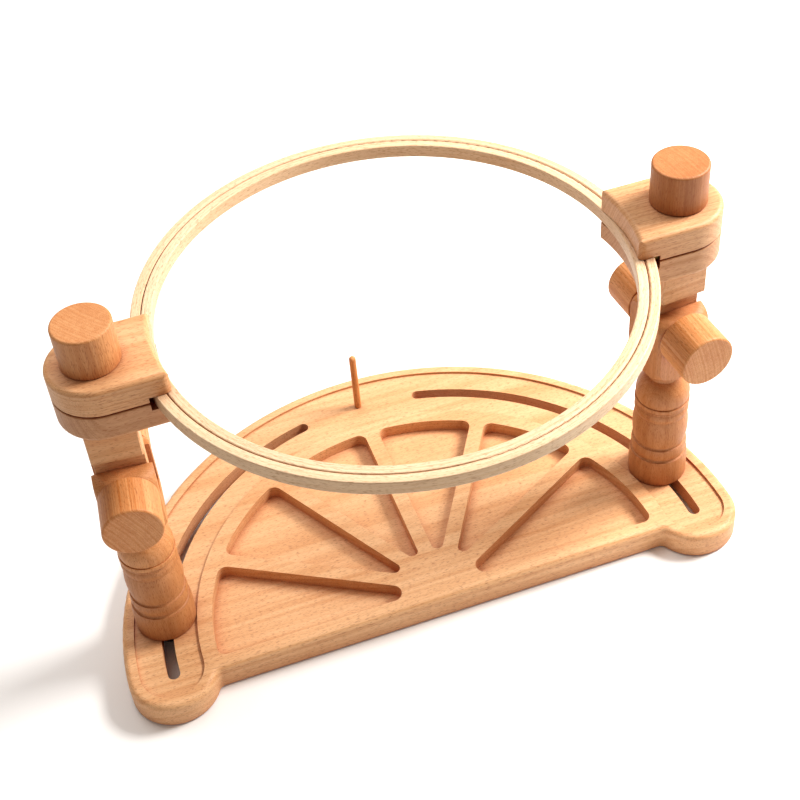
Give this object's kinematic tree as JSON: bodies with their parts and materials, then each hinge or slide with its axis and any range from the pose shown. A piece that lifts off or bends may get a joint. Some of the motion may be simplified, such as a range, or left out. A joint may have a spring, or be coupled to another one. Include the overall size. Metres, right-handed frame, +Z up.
{
  "type": "embroidery hoop stand",
  "caption": "Half-moon wooden tray base with curved slots, turned posts, forked arms and clamp jaws that hold a round embroidery hoop above it.",
  "frame": {"origin": "common centre of the two slot arcs, on the board's flat underside", "axes": "+X along the straight front edge to the right, +Y from the front edge to the back of the half-moon, +Z up"},
  "size_m": [0.418, 0.3085, 0.2734],
  "materials": {
    "board_beech": "fine sanded and waxed beech, satin",
    "turned_beech": "turned and sanded beech, satin",
    "hoop_wood": "pale bent wood, sanded, matt",
    "steel": "zinc plated, satin",
    "brass": "plain turned brass"
  },
  "bodies": {
    "base": {"base_board": "board_beech", "thread_pin": "turned_beech"},
    "left_carriage": {"left_slot_bolt": "steel", "left_slot_washer": "steel"},
    "left_post": {"left_post": "turned_beech", "left_post_insert": "brass"},
    "left_fork": {"left_fork": "turned_beech", "left_swivel_pin": "steel", "left_arm": "board_beech", "left_tilt_bolt": "steel", "left_rear_knob": "turned_beech", "left_clamp_stud": "steel"},
    "left_tilt_washer": {"left_tilt_washer": "steel"},
    "left_tilt_knob": {"left_tilt_knob": "turned_beech", "left_tilt_insert": "brass"},
    "left_lower_jaw": {"left_lower_jaw": "board_beech", "hoop_outer_ring": "hoop_wood", "closure_lugs": "brass", "closure_nut": "brass"},
    "left_upper_jaw": {"left_upper_jaw": "board_beech", "left_top_washer": "steel"},
    "left_top_knob": {"left_top_knob": "turned_beech", "left_top_insert": "brass"},
    "right_carriage": {"right_slot_bolt": "steel", "right_slot_washer": "steel"},
    "right_post": {"right_post": "turned_beech", "right_post_insert": "brass"},
    "right_fork": {"right_fork": "turned_beech", "right_swivel_pin": "steel", "right_arm": "board_beech", "right_tilt_bolt": "steel", "right_rear_knob": "turned_beech", "right_clamp_stud": "steel"},
    "right_tilt_washer": {"right_tilt_washer": "steel"},
    "right_tilt_knob": {"right_tilt_knob": "turned_beech", "right_tilt_insert": "brass"},
    "right_lower_jaw": {"right_lower_jaw": "board_beech"},
    "right_upper_jaw": {"right_upper_jaw": "board_beech", "right_top_washer": "steel"},
    "right_top_knob": {"right_top_knob": "turned_beech", "right_top_insert": "brass"},
    "hoop_inner_ring": {"hoop_inner_ring": "hoop_wood"},
    "closure_screw": {"closure_screw": "brass"}
  },
  "joints": [
    {"name": "left_post_slide", "type": "hinge", "parent": "base", "child": "left_carriage", "pos_m": [0, 0, 0], "axis": [0, 0, 1], "range_deg": [-13, 13]},
    {"name": "left_post_turn", "type": "hinge", "parent": "left_carriage", "child": "left_post", "pos_m": [-0.17465, 0.04355, 0], "axis": [0, 0, 1], "range_deg": [0, 360]},
    {"name": "left_fork_swivel", "type": "hinge", "parent": "left_carriage", "child": "left_fork", "pos_m": [-0.17465, 0.04355, 0], "axis": [0, 0, 1], "continuous": true},
    {"name": "left_jaw_swivel", "type": "hinge", "parent": "left_fork", "child": "left_lower_jaw", "pos_m": [-0.17465, 0.04355, 0], "axis": [0, 0, 1], "continuous": true},
    {"name": "left_jaw_lift", "type": "slide", "parent": "left_lower_jaw", "child": "left_upper_jaw", "axis": [0, 0, 1], "range_m": [0, 0.005]},
    {"name": "left_top_knob_turn", "type": "hinge", "parent": "left_upper_jaw", "child": "left_top_knob", "pos_m": [-0.17465, 0.04355, 0], "axis": [0, 0, 1], "range_deg": [0, 1440]},
    {"name": "left_tilt_ease", "type": "slide", "parent": "left_fork", "child": "left_tilt_washer", "axis": [-0.0872, -0.9962, 0], "range_m": [0, 0.0025]},
    {"name": "left_tilt_knob_turn", "type": "hinge", "parent": "left_tilt_washer", "child": "left_tilt_knob", "pos_m": [-0.17465, 0.04355, 0.154], "axis": [-0.0872, -0.9962, 0], "range_deg": [0, 720]},
    {"name": "right_post_slide", "type": "hinge", "parent": "base", "child": "right_carriage", "pos_m": [0, 0, 0], "axis": [0, 0, 1], "range_deg": [-13, 13]},
    {"name": "right_post_turn", "type": "hinge", "parent": "right_carriage", "child": "right_post", "pos_m": [0.17465, 0.04355, 0], "axis": [0, 0, 1], "range_deg": [0, 360]},
    {"name": "right_fork_swivel", "type": "hinge", "parent": "right_carriage", "child": "right_fork", "pos_m": [0.17465, 0.04355, 0], "axis": [0, 0, 1], "continuous": true},
    {"name": "right_jaw_swivel", "type": "hinge", "parent": "right_fork", "child": "right_lower_jaw", "pos_m": [0.17465, 0.04355, 0], "axis": [0, 0, 1], "continuous": true},
    {"name": "right_jaw_lift", "type": "slide", "parent": "right_lower_jaw", "child": "right_upper_jaw", "axis": [0, 0, 1], "range_m": [0, 0.005]},
    {"name": "right_top_knob_turn", "type": "hinge", "parent": "right_upper_jaw", "child": "right_top_knob", "pos_m": [0.17465, 0.04355, 0], "axis": [0, 0, 1], "range_deg": [0, 1440]},
    {"name": "right_tilt_ease", "type": "slide", "parent": "right_fork", "child": "right_tilt_washer", "axis": [0.0872, -0.9962, 0], "range_m": [0, 0.0025]},
    {"name": "right_tilt_knob_turn", "type": "hinge", "parent": "right_tilt_washer", "child": "right_tilt_knob", "pos_m": [0.17465, 0.04355, 0.154], "axis": [0.0872, -0.9962, 0], "range_deg": [0, 720]},
    {"name": "inner_ring_spin", "type": "hinge", "parent": "left_lower_jaw", "child": "hoop_inner_ring", "pos_m": [0, 0.052, 0.228], "axis": [0, 0, 1], "continuous": true},
    {"name": "closure_screw_turn", "type": "hinge", "parent": "left_lower_jaw", "child": "closure_screw", "pos_m": [0.15321, 0.03373, 0.228], "axis": [-0.1184, -0.993, 0], "range_deg": [0, 1080]}
  ],
  "couplings": [
    {"joint": "left_jaw_swivel", "follows": "left_fork_swivel", "ratio": -1},
    {"joint": "left_top_knob_turn", "follows": "left_jaw_lift", "rad_per_m": 5026.5},
    {"joint": "left_tilt_ease", "follows": "left_tilt_knob_turn", "m_per_rad": 0.00019894},
    {"joint": "right_jaw_swivel", "follows": "right_fork_swivel", "ratio": -1},
    {"joint": "right_top_knob_turn", "follows": "right_jaw_lift", "rad_per_m": 5026.5},
    {"joint": "right_tilt_ease", "follows": "right_tilt_knob_turn", "m_per_rad": 0.00019894},
    {"joint": "right_post_slide", "follows": "left_post_slide", "ratio": 1}
  ]
}
